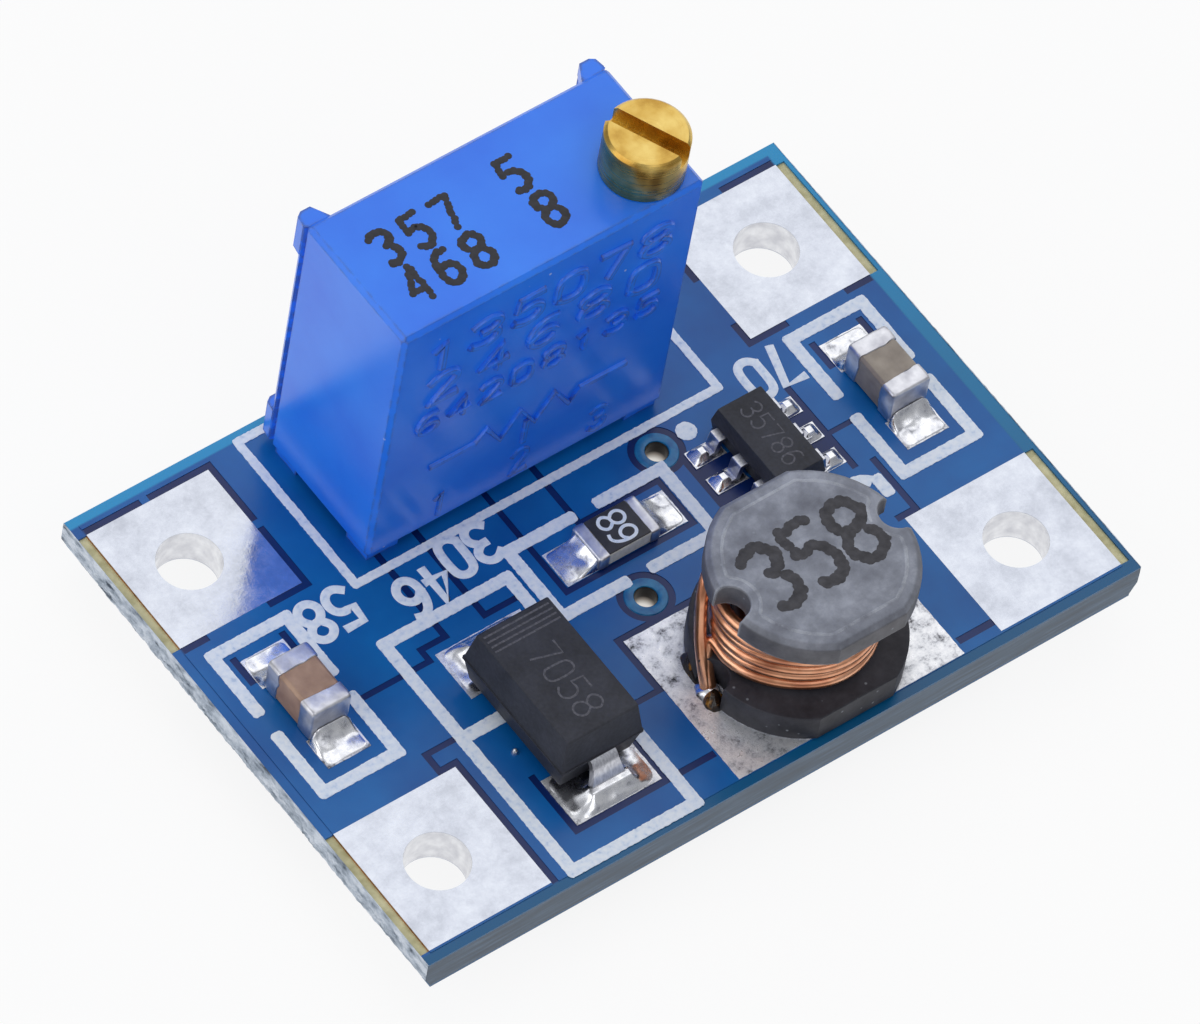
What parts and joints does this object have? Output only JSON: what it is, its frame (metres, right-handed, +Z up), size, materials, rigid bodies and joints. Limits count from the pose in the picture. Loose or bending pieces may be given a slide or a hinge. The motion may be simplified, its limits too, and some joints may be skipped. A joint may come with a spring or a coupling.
{
  "type": "boost converter module",
  "caption": "Small blue circuit board with a slotted multi-turn trimmer, a wound drum inductor, a diode, a regulator, chip parts and plated corner terminals.",
  "frame": {"origin": "under the middle of the board, level with the trimmed ends of the trimmer's pins", "axes": "+X along the board, with the screw's side of the trimmer to the right; +Y from the inductor to the trimmer; +Z up out of the parts' side"},
  "size_m": [0.023, 0.016, 0.0135],
  "materials": {
    "laminate": "bare glass-fibre laminate",
    "copper_foil": "etched copper foil",
    "hole_metal": "tinned plating",
    "solder_mask": "blue lacquer, glossy",
    "pad_tin": "dull tin, slightly mottled",
    "print_ink": "pale printed ink",
    "trimmer_case": "blue moulded plastic, satin",
    "screw_brass": "turned brass",
    "seal_rubber": "soft rubber",
    "wheel_plastic": "moulded plastic",
    "wiper_metal": "spring alloy",
    "track_film": "fired resistive film",
    "element_ceramic": "white alumina",
    "sealing_resin": "cast blue resin",
    "pin_tin": "tinned wire and leads",
    "joint_solder": "bright solder",
    "ferrite": "sintered ferrite, dull",
    "enamelled_wire": "copper wire under clear enamel",
    "mould_compound": "black moulding compound",
    "capacitor_ceramic": "brown fired ceramic",
    "resistor_coat": "black coat"
  },
  "bodies": {
    "board": {"board_laminate": "laminate", "copper_top": "copper_foil", "copper_bottom": "copper_foil", "hole_plating": "hole_metal", "solder_mask_top": "solder_mask", "solder_mask_bottom": "solder_mask", "pad_tin_top": "pad_tin", "pad_tin_bottom": "pad_tin", "silkscreen": "print_ink", "trimmer_housing": "trimmer_case", "trimmer_seal_ring": "seal_rubber", "trimmer_track": "track_film", "trimmer_element": "element_ceramic", "trimmer_potting": "sealing_resin", "trimmer_pin_left": "pin_tin", "trimmer_pin_middle": "pin_tin", "trimmer_pin_right": "pin_tin", "trimmer_solder": "joint_solder", "inductor_core": "ferrite", "inductor_winding": "enamelled_wire", "inductor_terminal_left": "pin_tin", "inductor_terminal_right": "pin_tin", "diode_body": "mould_compound", "diode_lead_back": "pin_tin", "diode_lead_front": "pin_tin", "regulator_body": "mould_compound", "regulator_lead_1": "pin_tin", "regulator_lead_2": "pin_tin", "regulator_lead_3": "pin_tin", "regulator_lead_4": "pin_tin", "regulator_lead_5": "pin_tin", "regulator_lead_6": "pin_tin", "left_capacitor_body": "capacitor_ceramic", "left_capacitor_end_back": "pin_tin", "left_capacitor_end_front": "pin_tin", "right_capacitor_body": "capacitor_ceramic", "right_capacitor_end_back": "pin_tin", "right_capacitor_end_front": "pin_tin", "resistor_body": "element_ceramic", "resistor_film": "resistor_coat", "resistor_end_left": "pin_tin", "resistor_end_right": "pin_tin", "solder_inductor": "joint_solder", "solder_diode": "joint_solder", "solder_regulator": "joint_solder", "solder_left_capacitor": "joint_solder", "solder_right_capacitor": "joint_solder", "solder_resistor": "joint_solder"},
    "screw": {"trimmer_screw": "screw_brass"},
    "wheel": {"trimmer_wheel": "wheel_plastic", "trimmer_wiper": "wiper_metal"}
  },
  "joints": [
    {"name": "screw_turn", "type": "hinge", "parent": "board", "child": "screw", "pos_m": [0.00274, 0.00402, 0], "axis": [0, 0, 1], "range_deg": [-4500, 4500]},
    {"name": "wheel_turn", "type": "hinge", "parent": "board", "child": "wheel", "pos_m": [-0.001, 0.00402, 0.00713], "axis": [0, 1, 0], "range_deg": [-136.36, 136.36]}
  ],
  "couplings": [
    {"joint": "wheel_turn", "follows": "screw_turn", "ratio": 0.030303}
  ]
}
